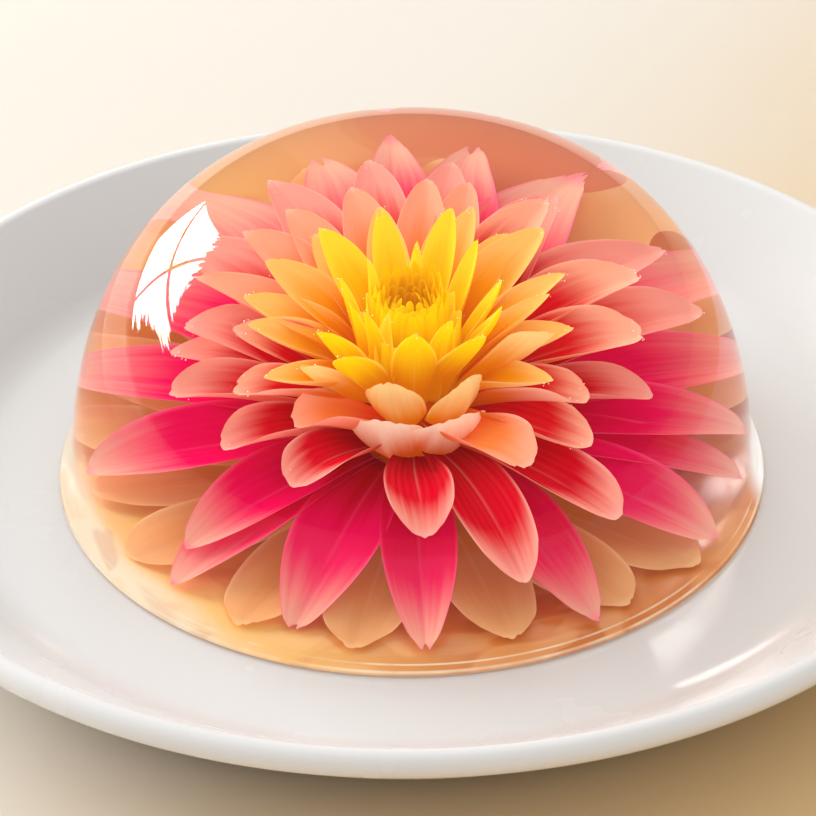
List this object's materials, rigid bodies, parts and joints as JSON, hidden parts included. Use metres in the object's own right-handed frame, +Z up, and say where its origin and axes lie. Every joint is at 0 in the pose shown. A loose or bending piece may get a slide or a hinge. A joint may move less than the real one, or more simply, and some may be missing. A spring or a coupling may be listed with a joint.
{
  "type": "moulded jelly on a plate",
  "caption": "Clear dome of set jelly with a flower sunk in it, turned out on a round rimmed white plate for serving.",
  "frame": {"origin": "on the axis of the plate and the dome, in the plane that the foot ring stands on", "axes": "+Z up along the dome's axis; +Y points away from the viewer of the picture and +X to the right"},
  "size_m": [0.2428, 0.2428, 0.0786],
  "materials": {
    "plate_glaze": "gloss",
    "clear_jelly": "gloss"
  },
  "bodies": {
    "root": {"plate": "plate_glaze", "jelly": "clear_jelly"}
  },
  "joints": []
}
